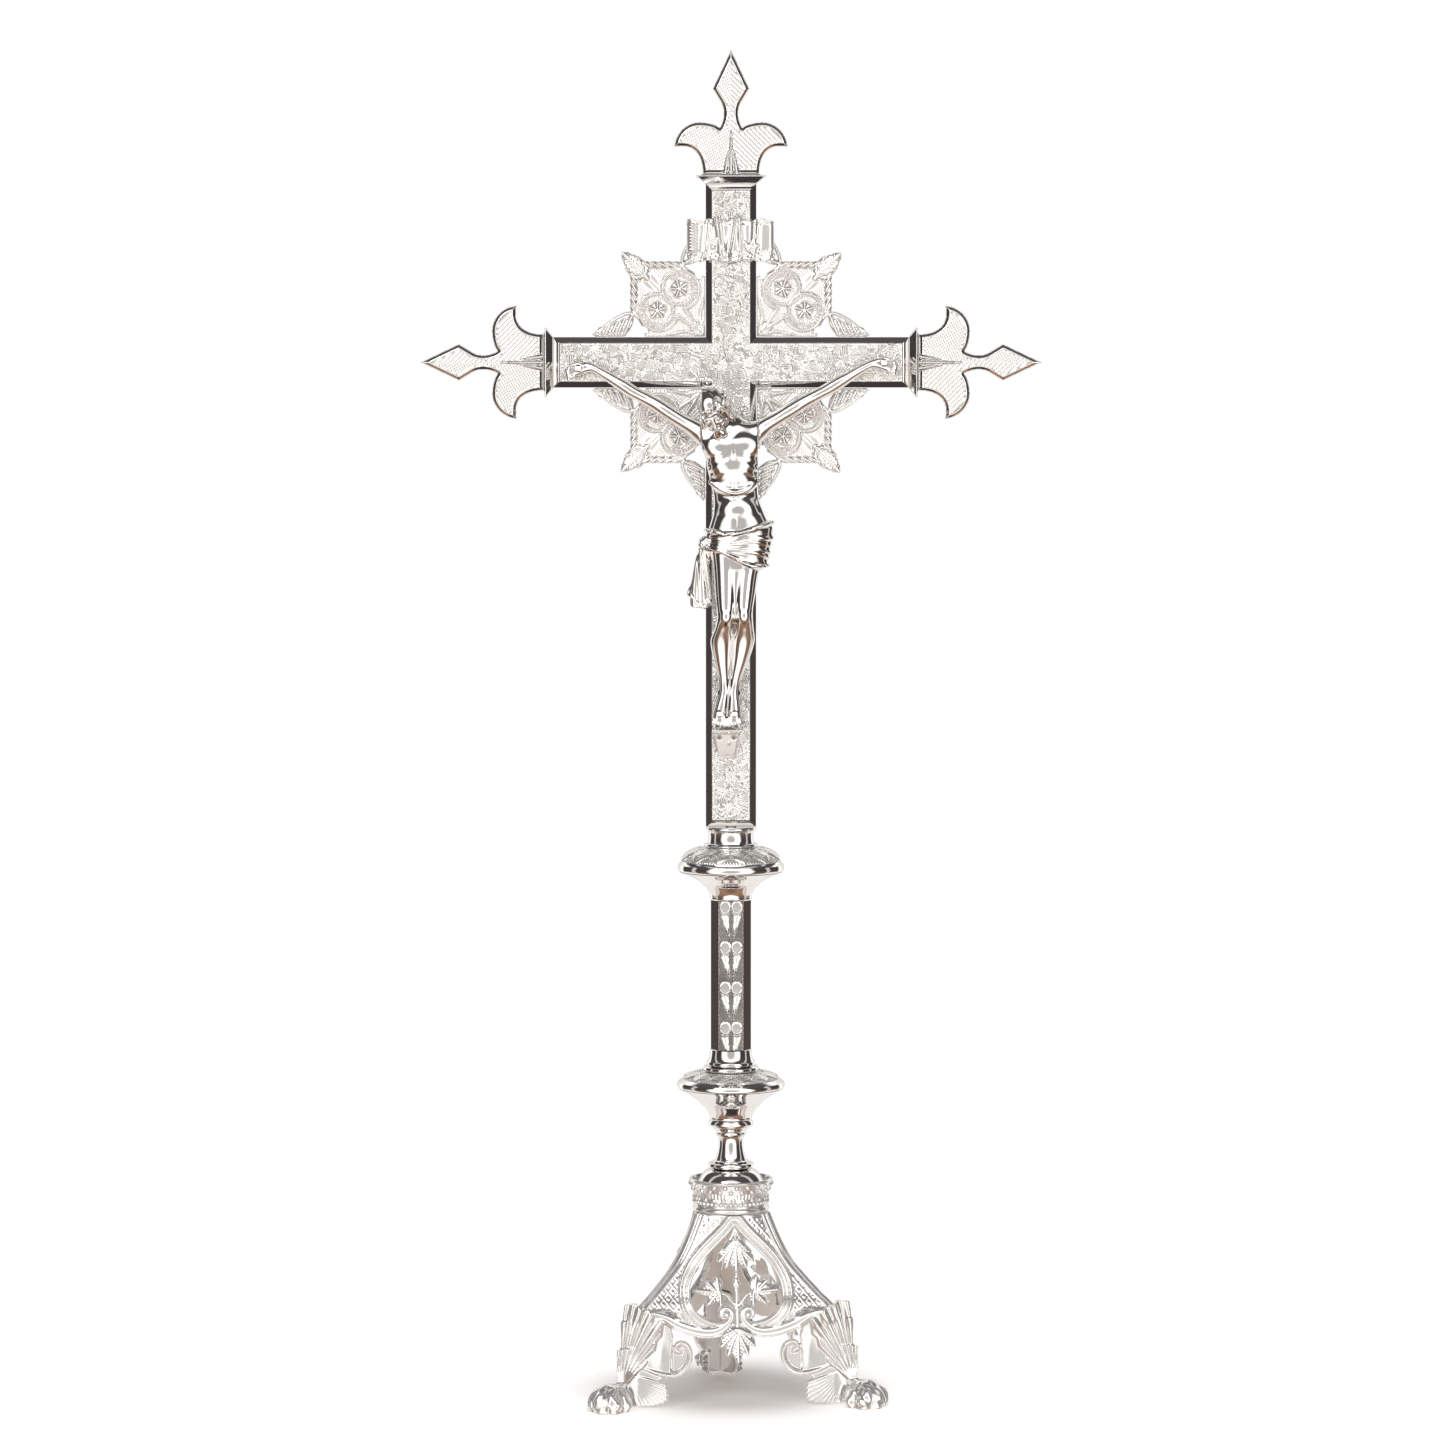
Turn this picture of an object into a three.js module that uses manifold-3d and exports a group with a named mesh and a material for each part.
// Altar cross on a three-sided openwork foot: silver-plated brass castings and turned pieces,
// threaded on one steel tie rod, with a cast corpus on the cross.
// Millimetres, +Z up, -Y is the front. The origin is on the floor, under the middle of the bounding box.
import * as THREE from 'three';
import { LoftGeometry } from 'three/addons/geometries/LoftGeometry.js';
import { mergeVertices } from 'three/addons/utils/BufferGeometryUtils.js';
import Module from 'manifold-3d';

const wasm = await Module();
wasm.setup();

// ---------------------------------------------------------------- driving dimensions
const GAP = 0.3; // clearance left between neighbouring pieces

const CROSS_CENTRE_Z = 492; // where the two bars of the cross meet
const BAR_HALF = 11.85; // half the width of a bar
const BORDER = 2.2; // width of the polished border round the engraved panel
const CROSS_HALF_DEPTH = 5.5;
const ARM_END = 83.6; // centre of the cross to the end of the frame
const CAP_LENGTH = 4.2;
const FINIAL_LENGTH = 58.3;
const PANEL_THICK = 1.2;
const PANEL_RECESS = 0.4; // the engraved panel lies this far below the border's ridge

const ROD_RADIUS = 2.5;
const ROD_BORE = ROD_RADIUS + 0.4;
const ROD_BOTTOM_Z = 78;
const ROD_TOP_Z = 290;

const BASE_TWIST = THREE.MathUtils.degToRad(5.5); // the foot stands this far out of square with the cross
const BASE_TOP_Z = 89; // top edge of the three side panels
const RAIL_Z = 41; // lower edge of the panels at the corners
const PANEL_WALL = 2.6;
const FACET_HALF = 2.8; // half the width of the flat on each corner
const COLLAR_HEIGHT = 15.2;
const KNOB_RADIUS = 70; // axis to the middle of each foot's knob

// Distance of the corner's flat from the axis, against height.
const CORNER_LINE = [[18.5, 92], [18.7, 89], [24.5, 76.5], [30.5, 67], [37.8, 59.5], [45.5, 52.4], [50, 48.7],
  [53, 45.5], [54.6, 42], [55.2, 36], [55.4, 28]];

const silver = new THREE.MeshStandardMaterial({ color: 0xe6e4e0, roughness: 0.12, metalness: 1 });
const frosted = new THREE.MeshStandardMaterial({ color: 0xdedbd5, roughness: 0.42, metalness: 1 });
const cast = new THREE.MeshStandardMaterial({ color: 0xdad8d3, roughness: 0.28, metalness: 1 });
const steel = new THREE.MeshStandardMaterial({ color: 0x8d8f92, roughness: 0.4, metalness: 1 });

// ---------------------------------------------------------------- geometry helpers
const v2 = (x, y) => new THREE.Vector2(x, y);
const v3 = (x, y, z) => new THREE.Vector3(x, y, z);

/** A closed geometry as a manifold-3d solid, turned right side out. */
function solid(geometry) {
  const bare = (geometry.index ? geometry.toNonIndexed() : geometry.clone());
  for (const name of Object.keys(bare.attributes)) if (name !== 'position') bare.deleteAttribute(name);
  const merged = mergeVertices(bare, 1e-4);
  const build = (triVerts) => new wasm.Manifold(new wasm.Mesh({
    numProp: 3, vertProperties: merged.attributes.position.array, triVerts }));
  const corners = new Uint32Array(merged.index.array);
  const made = build(corners);
  return made.volume() > 0 ? made : build(corners.reverse());
}

/** A manifold-3d solid as a three.js geometry. */
function geometryOf(manifold) {
  const { vertProperties, triVerts } = manifold.getMesh();
  return new THREE.BufferGeometry()
    .setAttribute('position', new THREE.BufferAttribute(new Float32Array(vertProperties), 3))
    .setIndex(new THREE.BufferAttribute(new Uint32Array(triVerts), 1));
}

const union = (pieces) => pieces.reduce((whole, piece) => whole.add(piece));

function part(name, made, material) {
  const mesh = new THREE.Mesh(geometryOf(made.isBufferGeometry ? solid(made) : made), material);
  mesh.name = name;
  return mesh;
}

/** Turns a closed outline of [radius, height] points about the vertical axis. */
function turned(outline, segments = 20) {
  const points = [...outline, outline[0]].map(([r, z]) => v2(r, z));
  return solid(new THREE.LatheGeometry(points, segments).rotateX(Math.PI / 2));
}

/** Extrudes a shape drawn in the XZ plane from y = front to y = back. */
function slab(shape, front, back, curveSegments = 4) {
  const geometry = new THREE.ExtrudeGeometry(shape, { depth: back - front, bevelEnabled: false, curveSegments });
  return solid(geometry.rotateX(Math.PI / 2).translate(0, back, 0));
}

/** The same, with all front and back edges bevelled; the outline keeps its full size. */
function bevelledSlab(shape, halfDepth, bevel, curveSegments = 3) {
  const geometry = new THREE.ExtrudeGeometry(shape, { depth: 2 * (halfDepth - bevel), bevelEnabled: true,
    bevelSize: bevel, bevelThickness: bevel, bevelOffset: -bevel, bevelSegments: 1, curveSegments });
  return solid(geometry.rotateX(Math.PI / 2).translate(0, halfDepth - bevel, 0));
}

const polygon = (points) => new THREE.Shape(points.map(([x, y]) => v2(x, y)));

/** A cylinder along Y. */
function pinAlongY(radius, x, front, back, z, segments = 10) {
  const rod = new THREE.CylinderGeometry(radius, radius, back - front, segments);
  return solid(rod.translate(x, (front + back) / 2, z));
}

function ellipsoid([x, y, z], [rx, ry, rz], segments = 10) {
  const ball = new THREE.SphereGeometry(1, segments, Math.round(segments * 0.7)).rotateX(Math.PI / 2);
  return solid(ball.scale(rx, ry, rz).translate(x, y, z));
}

/**
 * A round body along a line of stations [x, y, z, half width, flatness], closed at both ends. Its depth is the
 * half width times the flatness, measured along Y.
 */
function tube(stations, segments = 8) {
  const at = stations.map(([x, y, z]) => v3(x, y, z));
  const rings = stations.map(([, , , half, flatness = 1], i) => {
    const along = at[Math.min(i + 1, at.length - 1)].clone().sub(at[Math.max(i - 1, 0)]).normalize();
    const side = along.clone().cross(v3(0, 1, 0)).normalize();
    const depth = along.clone().cross(side).multiplyScalar(flatness);
    return Array.from({ length: segments }, (_, k) => {
      const angle = 2 * Math.PI * k / segments;
      return at[i].clone().addScaledVector(side, half * Math.cos(angle)).addScaledVector(depth, half * Math.sin(angle));
    });
  });
  return solid(new LoftGeometry(rings, { capStart: true, capEnd: true }));
}

/** Reads a smooth curve through [value, height] points as value = f(height). */
function readByHeight(points) {
  const samples = new THREE.SplineCurve(points.map(([value, z]) => v2(value, z))).getPoints(80);
  return (z) => {
    const i = Math.max(1, samples.findIndex((p, n) => n > 0 && p.y <= z));
    const [above, below] = [samples[i - 1], samples[i]];
    return THREE.MathUtils.mapLinear(z, above.y, below.y, above.x, below.x);
  };
}
const cornerRadius = readByHeight(CORNER_LINE);

// ---------------------------------------------------------------- the foot: panels, sprays, cast feet
/** How far the middle of a panel swells outwards at a height. */
const swell = (z) => 5 * Math.max(0, (z - 52) / (BASE_TOP_Z - 52));

/** Distance from the axis to a panel's outer face, a share across of its half width from the middle. */
const panelFace = (z, across) => cornerRadius(z) / 2 + 0.866 * FACET_HALF + swell(z) * (1 - across * across);

/** One horizontal section of a panel, mitred at both corners, as seen from above. */
function panelSection(z) {
  const r = cornerRadius(z);
  const edge = 0.866 * r - FACET_HALF / 2;
  const mitre = GAP / 2;
  const half = [[0.866 * r - 0.5 * mitre, 0.5 * r + 0.866 * mitre], [edge, panelFace(z, 1)]];
  const outer = [[-half[0][0], half[0][1]]];
  for (const across of [-1, -0.4, 0.4, 1]) outer.push([across * edge, panelFace(z, across)]);
  outer.push(half[0]);
  const back = r - 3.4;
  const inner = [[0.866 * back - 0.5 * mitre, 0.5 * back + 0.866 * mitre]];
  for (const across of [0.85, 0, -0.85]) inner.push([across * (edge - 2), panelFace(z, across) - PANEL_WALL]);
  inner.push([-inner[0][0], inner[0][1]]);
  return [...outer, ...inner].map(([t, n]) => v3(t, -n, z));
}

/** The spade-shaped opening, drawn on the panel's elevation. */
function spadeOpening() {
  const hole = new THREE.Path();
  hole.moveTo(0, 84);
  hole.bezierCurveTo(5, 76, 21.7, 66, 21.7, 53.5);
  hole.bezierCurveTo(21.7, 44, 14, 40.2, 6, 40.2);
  hole.lineTo(-6, 40.2);
  hole.bezierCurveTo(-14, 40.2, -21.7, 44, -21.7, 53.5);
  hole.bezierCurveTo(-21.7, 66, -5, 76, 0, 84);
  return hole;
}

function basePanel() {
  const heights = [];
  for (let z = 30; z < 90; z += 6) heights.push(z);
  heights.push(91);
  const sheet = solid(new LoftGeometry(heights.map(panelSection), { capStart: true, capEnd: true }));
  const outline = new THREE.Shape();
  outline.moveTo(-60, BASE_TOP_Z);
  outline.lineTo(-60, RAIL_Z);
  outline.lineTo(-34, RAIL_Z);
  outline.quadraticCurveTo(-29, 37, -24.8, 34.9);
  outline.quadraticCurveTo(-12, 30.5, 0, 35.5);
  outline.quadraticCurveTo(12, 30.5, 24.8, 34.9);
  outline.quadraticCurveTo(29, 37, 34, RAIL_Z);
  outline.lineTo(60, RAIL_Z);
  outline.lineTo(60, BASE_TOP_Z);
  outline.closePath();
  outline.holes.push(spadeOpening());
  return sheet.intersect(slab(outline, -60, 0));
}

/** A pointed leaf with side lobes, growing from [x, y] towards an angle. */
function leafShape(x, y, length, width, angle) {
  const lobes = [[0.06, 0], [0.2, 0.38], [0.12, 0.75], [0.38, 0.62], [0.4, 1], [0.62, 0.62], [1, 0]];
  const side = (sign) => lobes.map(([along, across]) => [along * length, sign * across * width / 2]);
  const turn = ([a, b]) => [x + a * Math.cos(angle) - b * Math.sin(angle), y + a * Math.sin(angle) + b * Math.cos(angle)];
  return polygon([...side(1), ...side(-1).reverse().slice(1, -1)].map(turn));
}

/** The leafy spray that fills the opening: a stem with leaves, two volutes and a pendant leaf, standing proud. */
function vineSpray() {
  const half = 0.9;
  const bar = (x0, y0, x1, y1, width) => {
    const run = v2(x1 - x0, y1 - y0);
    const side = v2(-run.y, run.x).normalize().multiplyScalar(width / 2);
    return slab(polygon([[x0 + side.x, y0 + side.y], [x0 - side.x, y0 - side.y], [x1 - side.x, y1 - side.y],
      [x1 + side.x, y1 + side.y]]), -half, half);
  };
  const disc = (x, y, radius) => pinAlongY(radius, x, -half, half, y, 10);
  const leaf = (...args) => slab(leafShape(...args), -half, half);
  const pieces = [bar(0, 34, 0, 84, 1.6), leaf(0, 85, 20, 17, -Math.PI / 2), disc(0, 58.5, 1.9),
    leaf(0, 37.5, 17, 14, -Math.PI / 2)];
  for (const side of [-1, 1]) {
    pieces.push(bar(0, 47.5, side * 6, 54, 1.3), bar(side * 5.6, 53.8, side * 9.5, 55, 1.3));
    pieces.push(leaf(side * 7.6, 55, 12.6, 13.5, side > 0 ? 0 : Math.PI));
    pieces.push(disc(side * 4.4, 43.7, 3), bar(0, 41.4, side * 4.4, 42.6, 2.6));
  }
  return union(pieces);
}

/** Leans the spray, drawn upright through y = 0, so that it lies just in front of the panel's face. */
const SPRAY_LOW = { out: 31.6, z: 38 };
const SPRAY_HIGH = { out: 18.4, z: 86 };
const SPRAY_LEAN = Math.atan2(SPRAY_LOW.out - SPRAY_HIGH.out, SPRAY_HIGH.z - SPRAY_LOW.z);

/** One cast foot at the front left corner: knob, leaf up the corner and a scroll in each panel's plane. */
function castFoot() {
  const towardsCorner = 210; // degrees from +X
  const leaf = slab(polygon([[48, 2.5], [52, 1], [66, 1], [74, 12], [69, 18], [65.3, 23], [63.6, 30], [62, 38],
    [61, 44.5], [59.4, 49.5], [57, 46], [56.2, 40.5], [53, 40], [51, 30], [47.5, 18]]), -5.5, 5.5);
  const aboveFloor = solid(new THREE.BoxGeometry(60, 60, 30).translate(KNOB_RADIUS, 0, 15));
  const knob = ellipsoid([KNOB_RADIUS, 0, 8.6], [11.3, 10.8, 10], 12).intersect(aboveFloor);
  const scroll = new THREE.Shape();
  scroll.moveTo(-47, 40.4);
  scroll.lineTo(-34.5, 40.4);
  scroll.lineTo(-31, 37.8);
  scroll.lineTo(-30, 31.5);
  scroll.quadraticCurveTo(-26, 33, -22.5, 29);
  scroll.quadraticCurveTo(-19.6, 24, -22.8, 19.5);
  scroll.quadraticCurveTo(-26, 15.5, -31, 14.6);
  scroll.lineTo(-31.5, 6);
  scroll.lineTo(-33.5, 0.8);
  scroll.lineTo(-38.5, 1.6);
  scroll.lineTo(-50, 13);
  scroll.closePath();
  const wing = slab(scroll, -29.8, -26.6);
  const corner = THREE.MathUtils.degToRad(towardsCorner);
  const otherWing = wing.mirror([-Math.sin(corner), Math.cos(corner), 0]);
  return union([union([leaf, knob]).rotate([0, 0, towardsCorner]), wing, otherWing]);
}

function makeBase() {
  const base = new THREE.Group();
  const panel = basePanel();
  const foot = castFoot();
  const spray = vineSpray();
  const sides = [['front', 0], ['right', 120], ['left', -120]];
  const corners = [['front_left', 0], ['front_right', 120], ['rear', -120]];
  for (const [side, degrees] of sides) {
    base.add(part(`base_panel_${side}`, panel.rotate([0, 0, degrees]), cast));
    const leaning = spray.translate([0, 0, -SPRAY_LOW.z]).rotate([-THREE.MathUtils.radToDeg(SPRAY_LEAN), 0, 0])
      .translate([0, -SPRAY_LOW.out, SPRAY_LOW.z]);
    base.add(part(`vine_spray_${side}`, leaning.rotate([0, 0, degrees]), cast));
  }
  for (const [corner, degrees] of corners) base.add(part(`foot_${corner}`, foot.rotate([0, 0, degrees]), cast));

  const plateZ = BASE_TOP_Z + GAP;
  base.add(part('base_top_plate', turned([[ROD_BORE, plateZ], [15.7, plateZ], [15.7, plateZ + 2.5],
    [ROD_BORE, plateZ + 2.5]]), cast));
  const top = plateZ + COLLAR_HEIGHT;
  base.add(part('crown_collar', turned([[17.9, plateZ], [18.2, plateZ + 1.5], [17.5, plateZ + 2.5], [17.9, plateZ + 8],
    [18.7, plateZ + 12], [19.7, top - 0.8], [19.5, top], [18.4, top], [17, top - 5.3], [13, top - 5.3], [13, top - 7],
    [16.1, top - 8.5], [16.1, plateZ]], 24), cast));
  const domeZ = top - 5.3 + GAP;
  base.add(part('base_dome', turned([[ROD_BORE, domeZ + 8.4], [ROD_BORE, domeZ + 9.7], [8.6, domeZ + 9.7],
    [11, domeZ + 9.1], [13.2, domeZ + 7.4], [15, domeZ + 4.6], [15.9, domeZ + 1.6], [16, domeZ], [14.6, domeZ],
    [14.5, domeZ + 1.4], [13.7, domeZ + 4], [12.2, domeZ + 6.4], [10.4, domeZ + 7.9], [8.4, domeZ + 8.4]]), silver));
  base.rotation.z = BASE_TWIST;
  return { base, topZ: domeZ + 9.7 };
}

// ---------------------------------------------------------------- the stem: a stack of turned pieces
/** [name, [[height, radius], ...], wall]: wall makes a spun shell, open at its wide end. */
const STACK = [
  ['stem_ring', [[0, 10], [0.5, 10.8], [1.9, 10.8], [2.4, 10]], null],
  ['baluster_neck', [[0, 8.3], [0.8, 7.7], [4, 6.6], [9, 5.9], [12.7, 6.7]], null],
  ['baluster_cup', [[0, 7], [1.3, 7.1], [3.7, 9.4], [4.3, 10.4], [6.4, 10.6], [7, 10]], null],
  ['lower_knop_under', [[0, 9.9], [4, 11.3], [8, 14.2], [12, 20.6], [15.1, 25]], 'top'],
  ['lower_knop_top', [[0, 25.5], [2.9, 25.5], [5, 22.6], [6.9, 16], [7.6, 13]], 'bottom'],
  ['column_foot_ring', [[0, 12.4], [0.5, 13], [1.9, 13], [2.4, 12.4]], null],
  ['column_foot', [[0, 11.2], [2.2, 11], [5, 10.1], [7.5, 9.8]], null],
  ['column', 71.1, null],
  ['upper_knop_under', [[0, 9.8], [3.4, 10.5], [6.6, 12.4], [10.4, 18.6], [13.3, 24.6]], 'top'],
  ['upper_knop_top', [[0, 25.1], [3.4, 25.1], [6, 23.4], [9, 18.4], [11.3, 12.8]], 'bottom'],
  ['neck_ring', [[0, 12.6], [1.4, 12.6]], null],
  ['cross_socket', [[0, 11.1], [1.6, 10.7], [4.4, 10.7], [5.8, 11]], null],
  ['shaft_ring', [[0, 11.8], [1.7, 11.8]], null],
];
const SHELL_WALL = 1.5;

/** A turned piece with the rod's bore through it; shells are hollow and open at their wide end. */
function turnedPiece(profile, wide, z) {
  const height = profile.at(-1)[0];
  const outer = profile.map(([h, r]) => [r, z + h]);
  if (!wide) return turned([[ROD_BORE, z], ...outer, [ROD_BORE, z + height]]);
  const hollow = profile.map(([h, r]) => [Math.max(r - SHELL_WALL, ROD_BORE + 1), h]);
  const floor = 2;
  const inside = wide === 'top'
    ? [...hollow.filter(([, h]) => h > floor).reverse(), [hollow[0][0], floor], [ROD_BORE, floor], [ROD_BORE, 0]]
    : [[ROD_BORE, height], [ROD_BORE, height - floor], [hollow.at(-1)[0], height - floor],
      ...hollow.filter(([, h]) => h < height - floor).reverse()];
  return turned([...outer, ...inside.map(([r, h]) => [r, z + h])], 28);
}

/** The column: three wide faces in line with the cross and two sides of the foot, and three narrow ones between. */
const COLUMN_RADIUS = 9.6;
const WIDE_FACE = 11.9;
function columnPiece(z, height) {
  const half = Math.asin(WIDE_FACE / 2 / COLUMN_RADIUS);
  const corners = [];
  for (let side = 0; side < 3; side++) {
    const middle = -Math.PI / 2 + side * 2 * Math.PI / 3;
    for (const angle of [middle - half, middle + half]) {
      corners.push([COLUMN_RADIUS * Math.cos(angle), COLUMN_RADIUS * Math.sin(angle)]);
    }
  }
  const shape = polygon(corners);
  shape.holes.push(new THREE.Path().absarc(0, 0, 6, 0, 2 * Math.PI, true));
  const tube = new THREE.ExtrudeGeometry(shape, { depth: height, bevelEnabled: false, curveSegments: 16 });
  return solid(tube.translate(0, 0, z));
}

function makeStem(fromZ) {
  const stem = new THREE.Group();
  let z = fromZ + GAP;
  for (const [name, profile, wide] of STACK) {
    const height = Array.isArray(profile) ? profile.at(-1)[0] : profile;
    stem.add(part(name, Array.isArray(profile) ? turnedPiece(profile, wide, z) : columnPiece(z, profile), silver));
    z += height + GAP;
  }
  const rod = new THREE.CylinderGeometry(ROD_RADIUS, ROD_RADIUS, ROD_TOP_Z - ROD_BOTTOM_Z, 20);
  stem.add(part('tie_rod', rod.rotateX(Math.PI / 2).translate(0, 0, (ROD_TOP_Z + ROD_BOTTOM_Z) / 2), steel));
  const washerZ = BASE_TOP_Z - 1.2;
  stem.add(part('tie_washer', turned([[ROD_BORE, washerZ], [8, washerZ], [8, washerZ + 1.2], [ROD_BORE, washerZ + 1.2]]), steel));
  const nut = new THREE.CylinderGeometry(4.6, 4.6, 4.2, 6).rotateX(Math.PI / 2).translate(0, 0, washerZ - GAP - 2.1);
  const nutBore = new THREE.CylinderGeometry(ROD_BORE, ROD_BORE, 10, 20).rotateX(Math.PI / 2).translate(0, 0, washerZ - 2);
  stem.add(part('tie_nut', solid(nut).subtract(solid(nutBore)), steel));
  return { stem, topZ: z };
}

// ---------------------------------------------------------------- the cross
/** The outline of the cross, shrunk by inset on every side. */
function crossShape(inset, footZ) {
  const half = BAR_HALF - inset;
  const end = ARM_END - inset;
  const foot = footZ + inset;
  return polygon([[-half, foot], [half, foot], [half, -half], [end, -half], [end, half], [half, half], [half, end],
    [-half, end], [-half, half], [-end, half], [-end, -half], [-half, -half]]);
}

const NAIL_RADIUS = 1.1;
const NAILS = [['left_hand', -71.8, -2.8], ['right_hand', 71.8, -0.2], ['left_foot', -5.4, -165],
  ['right_foot', 1.6, -165]];

/** A piece with the four nails' holes drilled through it. */
const drilled = (plate) => NAILS.reduce((left, [, x, z]) =>
  left.subtract(pinAlongY(NAIL_RADIUS + GAP, x, -30, 30, z)), plate);

/** A moulded cap: a cove from the bar's size out to a flat rim. Drawn along +X from x = 0. */
function endCap() {
  const section = (x, halfWidth, halfDepth) => [v3(x, -halfDepth, -halfWidth), v3(x, halfDepth, -halfWidth),
    v3(x, halfDepth, halfWidth), v3(x, -halfDepth, halfWidth)];
  return solid(new LoftGeometry([section(0, 12.2, 5.8), section(0.7, 13, 6.4), section(1.5, 14.8, 7.6),
    section(2, 16.2, 8.6), section(3.5, 16.2, 8.6), section(3.6, 13.7, 6.6), section(CAP_LENGTH, 13.7, 6.6)],
  { capStart: true, capEnd: true }));
}

/** A fleur-de-lis, drawn along +X from x = 0: two curled lobes, a waist and a lozenge point. */
function finial() {
  const shape = new THREE.Shape();
  shape.moveTo(0, -13.4);
  shape.bezierCurveTo(7, -13.6, 14.6, -16, 12.4, -26.8);
  shape.bezierCurveTo(20, -26.5, 24.6, -20, 24.4, -14.5);
  shape.quadraticCurveTo(24.2, -9.5, 21.7, -5.4);
  shape.quadraticCurveTo(28, -1.8, 34.2, -5.4);
  shape.lineTo(39.8, -8.8);
  shape.lineTo(FINIAL_LENGTH, 0);
  shape.lineTo(39.8, 8.8);
  shape.lineTo(34.2, 5.4);
  shape.quadraticCurveTo(28, 1.8, 21.7, 5.4);
  shape.quadraticCurveTo(24.2, 9.5, 24.4, 14.5);
  shape.bezierCurveTo(24.6, 20, 20, 26.5, 12.4, 26.8);
  shape.bezierCurveTo(14.6, 16, 7, 13.6, 0, 13.4);
  shape.closePath();
  return bevelledSlab(shape, 2.6, 1.1);
}

/** A pierced scroll plate in the angle of the bars, drawn in the upper right quarter. */
function cornerOrnament() {
  const near = BAR_HALF + GAP;
  const half = [[62, near], [64.3, 14.6], [56, 18.6], [49, 22.6], [44.6, 21.6], [46.6, 28], [46.9, 38], [45.6, 43.6],
    [51.4, 48.4]];
  const mirrored = half.map(([a, b]) => [b, a]).reverse();
  const shape = polygon([[near, near], ...half, [51.8, 51.8], ...mirrored]);
  const slot = [[33, 14.6], [39.5, 14.6], [43, 19.6], [40.5, 19.6]];
  shape.holes.push(polygon(slot), polygon(slot.map(([a, b]) => [b, a]).reverse()));
  return slab(shape, -2.1, 0);
}

/** A blank parchment scroll: a gently waved sheet with curled ends, standing in front of the upper arm. */
function titulusScroll() {
  const middle = -CROSS_HALF_DEPTH - GAP - 1;
  const line = new THREE.SplineCurve([v2(-19.8, middle - 1.9), v2(-21, middle - 0.7), v2(-19.4, middle), v2(-13, middle),
    v2(-6, middle - 0.8), v2(2, middle - 0.2), v2(9, middle - 1), v2(15, middle), v2(19.6, middle), v2(21.4, middle - 0.8),
    v2(20, middle - 2.1)]);
  const points = line.getPoints(26);
  const offset = (sign) => points.map((p, i) => {
    const along = line.getTangent(i / 26);
    return [p.x - sign * 0.55 * along.y, p.y + sign * 0.55 * along.x];
  });
  const ribbon = polygon([...offset(1), ...offset(-1).reverse()]);
  const sheet = new THREE.ExtrudeGeometry(ribbon, { depth: 20.6, bevelEnabled: false });
  return solid(sheet.translate(0, 0, 47));
}

/** The little sloping bracket under the feet. */
function footrest() {
  const back = -CROSS_HALF_DEPTH + PANEL_RECESS - GAP;
  const level = (z, half, front) => [v3(-half, front, z), v3(half, front, z), v3(half, back, z), v3(-half, back, z)];
  return solid(new LoftGeometry([level(-184.6, 4.2, back - 4.2), level(-174.6, 6, back - 8.6), level(-173.9, 7, back - 10),
    level(-172.4, 7, back - 10)], { capStart: true, capEnd: true }).translate(-2.1, 0, 0));
}

// ---------------------------------------------------------------- the corpus, in coordinates from the cross's centre
/** Body, head, legs and loincloth: one casting. */
function corpusBody() {
  const leg = (hip, knee, calf, ankle, toes) => tube([[...hip, 7.4, 0.95], [...knee, 4.7], [...calf, 4.4],
    [...ankle, 2.2], [...toes, 2.6]]);
  return union([
    tube([[4.2, -15, -93, 11, 0.7], [4.2, -14.8, -79, 14.6, 0.58], [2.4, -14.2, -65, 10.6, 0.62],
      [0.8, -14.4, -52, 12.8, 0.58], [-0.4, -14.6, -42, 14.4, 0.52], [-1, -14.6, -33, 12.6, 0.5],
      [-2.4, -16, -28.6, 4.6, 0.9], [-6, -19, -25, 4, 1]], 10),
    ellipsoid([-8.6, -20.2, -23.8], [7.4, 7.6, 9.6]),
    leg([-1.8, -15.4, -86], [-2.3, -19.4, -119.5], [-4.8, -13.8, -135], [-3, -11.4, -155], [-5.5, -13.6, -170.6]),
    leg([9.8, -15.4, -86], [6.2, -19.4, -118.5], [5, -13.8, -135], [0.4, -11.4, -155], [1.6, -13.6, -170.6]),
    tube([[-8, -14, -78, 2, 1], [-13, -13.4, -84, 3.2, 0.8], [-16.6, -11.4, -108, 3, 0.7], [-13, -11.4, -115, 1.6, 1]], 6),
  ]);
}

/** The arms are cast apart and meet the body on flat joints at these distances from the middle of the shaft. */
const SHOULDER_JOINTS = { left: -14, right: 12.8 };

/** Everything of the upper body beyond a shoulder joint, moved outwards by away. */
function beyondShoulder(place, away) {
  const side = place === 'left' ? -1 : 1;
  const joint = SHOULDER_JOINTS[place] + side * away;
  return slab(polygon([[joint, -60], [side * 90, -60], [side * 90, 20], [joint, 20]]), -40, 20);
}

/** An arm with its hand, from the shoulder out past the nail. */
function corpusArm(place) {
  const stations = {
    left: [[-11, -13.6, -34, 4], [-18.4, -13.4, -30.2, 4.4], [-30, -12, -22.4, 3.7], [-43.2, -10.8, -15.2, 2.8],
      [-52, -10, -10, 2.8], [-65.4, -8.8, -1.4, 1.8, 0.9], [-71.6, -8.2, -2.8, 3.4, 0.5], [-77, -8.4, -6, 1.6, 0.8]],
    right: [[9.6, -13.6, -33, 4], [16.6, -13.4, -29, 4.4], [29, -12, -21, 3.7], [43.4, -10.8, -13.6, 2.8],
      [52, -10, -8.8, 2.8], [66.2, -8.8, -0.2, 1.8, 0.9], [72, -8.2, -0.2, 3.4, 0.5], [77.4, -8.4, -2.6, 1.6, 0.8]],
  }[place];
  const nail = NAILS.find(([name]) => name === `${place}_hand`);
  return tube(stations).intersect(beyondShoulder(place, GAP / 2))
    .subtract(pinAlongY(NAIL_RADIUS + GAP, nail[1], -30, 30, nail[2]));
}

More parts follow.
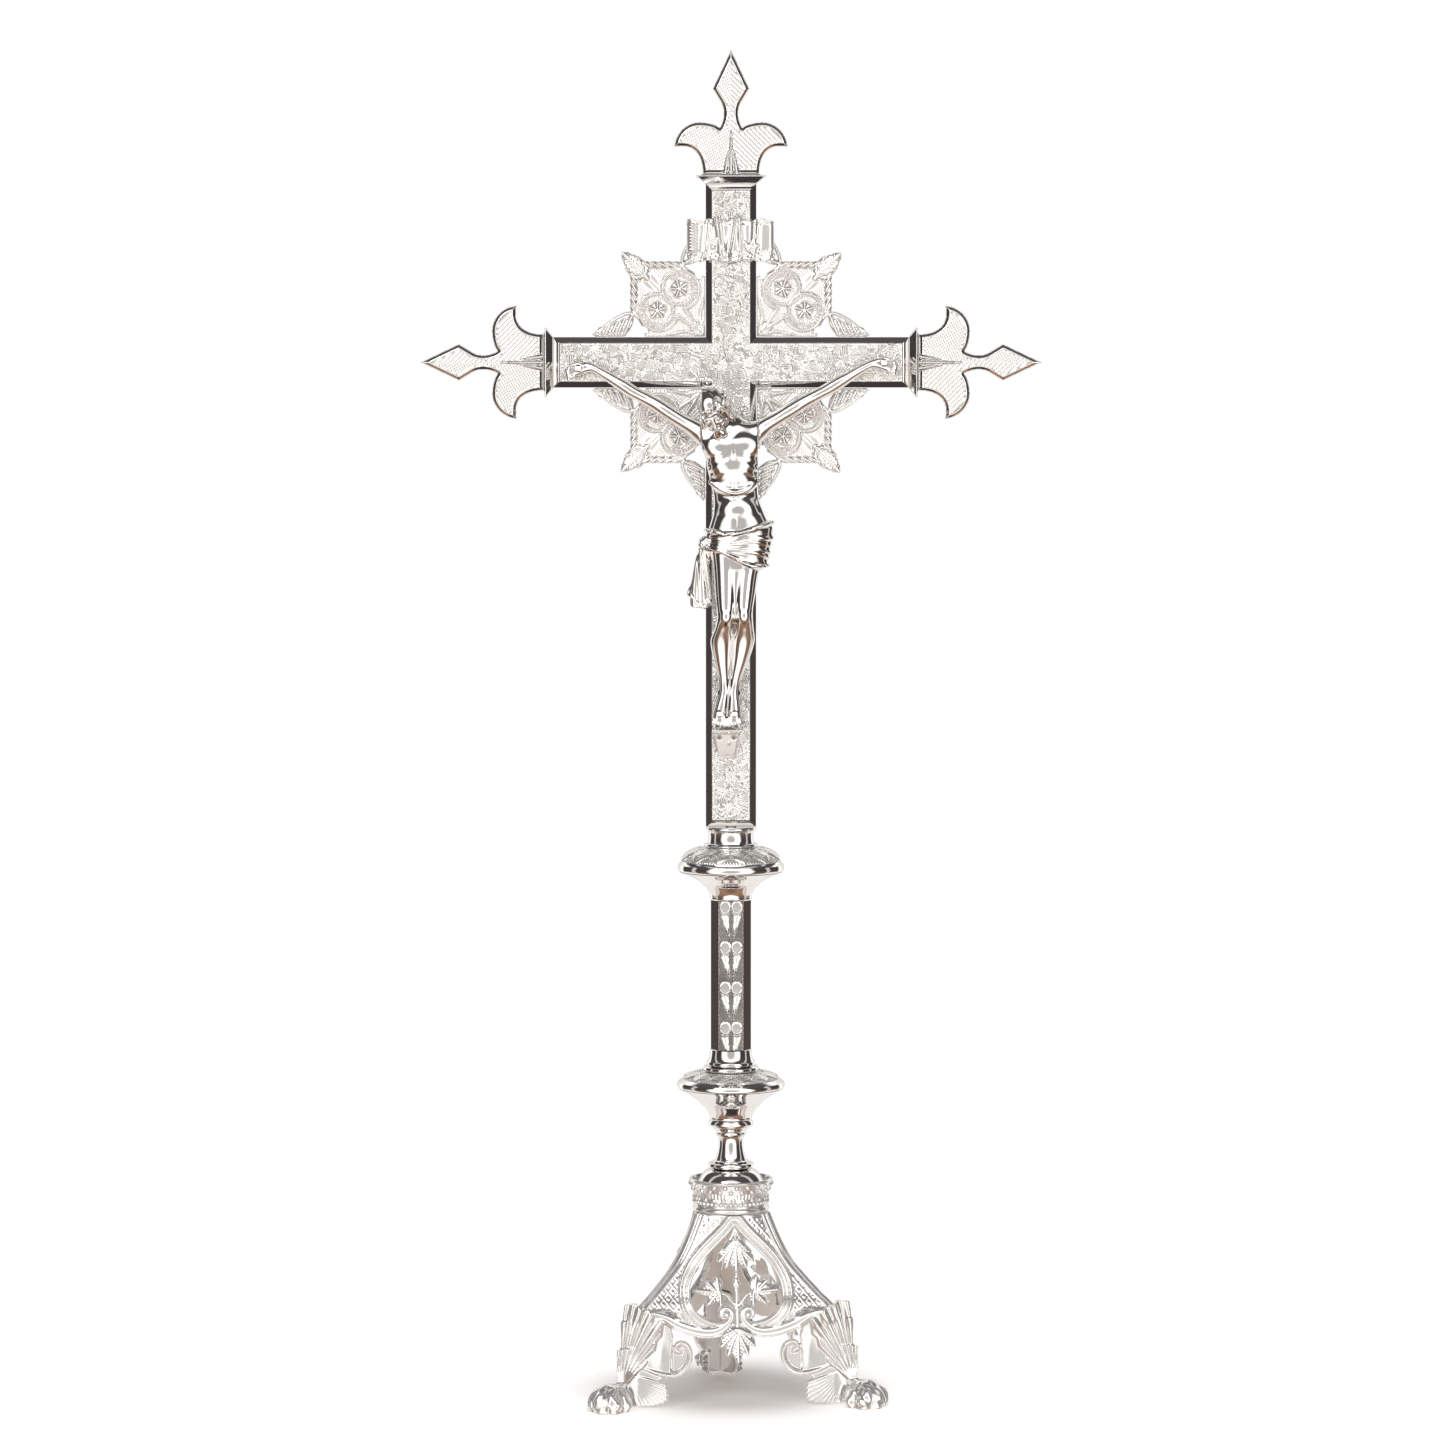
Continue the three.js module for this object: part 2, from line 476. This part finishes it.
function makeNail(x, z, headY) {
  const head = ellipsoid([x, headY, z], [2, 1.1, 2], 8);
  return union([pinAlongY(NAIL_RADIUS, x, headY, CROSS_HALF_DEPTH + 2.4, z), head]);
}

function makeCross(footZ) {
  const cross = new THREE.Group();
  cross.position.z = CROSS_CENTRE_Z;
  const foot = footZ - CROSS_CENTRE_Z;
  const panelFront = -CROSS_HALF_DEPTH + PANEL_RECESS;
  const rodBore = new THREE.CylinderGeometry(ROD_BORE, ROD_BORE, 40, 20).rotateX(Math.PI / 2).translate(0, 0, foot);
  const frame = bevelledSlab(crossShape(0, foot), CROSS_HALF_DEPTH, BORDER - 0.3)
    .subtract(slab(crossShape(BORDER, foot), -20, 20)).subtract(solid(rodBore));
  cross.add(part('cross_frame', frame, silver));
  const plate = (front) => drilled(slab(crossShape(BORDER + GAP, foot), front, front + PANEL_THICK));
  cross.add(part('front_panel', plate(panelFront), frosted));
  cross.add(part('back_panel', plate(-panelFront - PANEL_THICK), silver));
  const plugBottom = foot + BORDER + GAP;
  const plug = new THREE.BoxGeometry(18.4, 2 * (CROSS_HALF_DEPTH - PANEL_RECESS - PANEL_THICK - GAP), 21)
    .translate(0, 0, plugBottom + 10.5);
  const plugBore = new THREE.CylinderGeometry(ROD_BORE, ROD_BORE, 40, 20).rotateX(Math.PI / 2)
    .translate(0, 0, ROD_TOP_Z - CROSS_CENTRE_Z + GAP - 20);
  cross.add(part('shaft_plug', solid(plug).subtract(solid(plugBore)), steel));

  const arms = [['right', 0], ['left', 180], ['top', -90]];
  for (const [side, degrees] of arms) {
    const turn = (made, reach) => made.translate([reach, 0, 0]).rotate([0, degrees, 0]);
    cross.add(part(`end_cap_${side}`, turn(endCap(), ARM_END + GAP), silver));
    cross.add(part(`finial_${side}`, turn(finial(), ARM_END + CAP_LENGTH + 2 * GAP), frosted));
  }
  const quarters = [['upper_right', 0], ['upper_left', -90], ['lower_left', 180], ['lower_right', 90]];
  for (const [quarter, degrees] of quarters) {
    cross.add(part(`corner_ornament_${quarter}`, cornerOrnament().rotate([0, degrees, 0]), cast));
  }
  cross.add(part('titulus_scroll', titulusScroll(), cast));
  cross.add(part('footrest', footrest().subtract(pinAlongY(1.1, -0.9, -30, -5.5, -179.6)), cast));
  cross.add(part('footrest_pin', pinAlongY(0.8, -0.9, -13.2, -5.5, -179.6), silver));

  const body = drilled(corpusBody()).subtract(beyondShoulder('left', -GAP / 2)).subtract(beyondShoulder('right', -GAP / 2))
    .subtract(slab(polygon([[-40, -200], [40, -200], [40, 0], [-40, 0]]), -CROSS_HALF_DEPTH - GAP, 20))
    .subtract(slab(polygon([[-40, -200], [40, -200], [40, -172.4 + GAP], [-40, -172.4 + GAP]]), -40, 20));
  cross.add(part('corpus_body', body, silver));
  cross.add(part('corpus_arm_left', corpusArm('left'), silver));
  cross.add(part('corpus_arm_right', corpusArm('right'), silver));
  for (const [place, x, z] of NAILS) {
    const headY = place.includes('hand') ? -11 : -16.6;
    cross.add(part(`nail_${place}`, makeNail(x, z, headY), silver));
    const nutFront = CROSS_HALF_DEPTH - PANEL_RECESS + GAP;
    const nut = new THREE.CylinderGeometry(2.6, 2.6, 1.8, 6).translate(x, nutFront + 0.9, z);
    cross.add(part(`nut_${place}`, solid(nut).subtract(pinAlongY(NAIL_RADIUS + GAP, x, -30, 30, z)), steel));
  }
  return cross;
}

// ---------------------------------------------------------------- assembly
const { base, topZ: baseTop } = makeBase();
const { stem, topZ: stemTop } = makeStem(baseTop);
const altarCross = new THREE.Group();
altarCross.add(base, stem, makeCross(stemTop));
const box = new THREE.Box3().setFromObject(altarCross, true);
altarCross.position.set(-(box.min.x + box.max.x) / 2, -(box.min.y + box.max.y) / 2, 0);

export default altarCross;
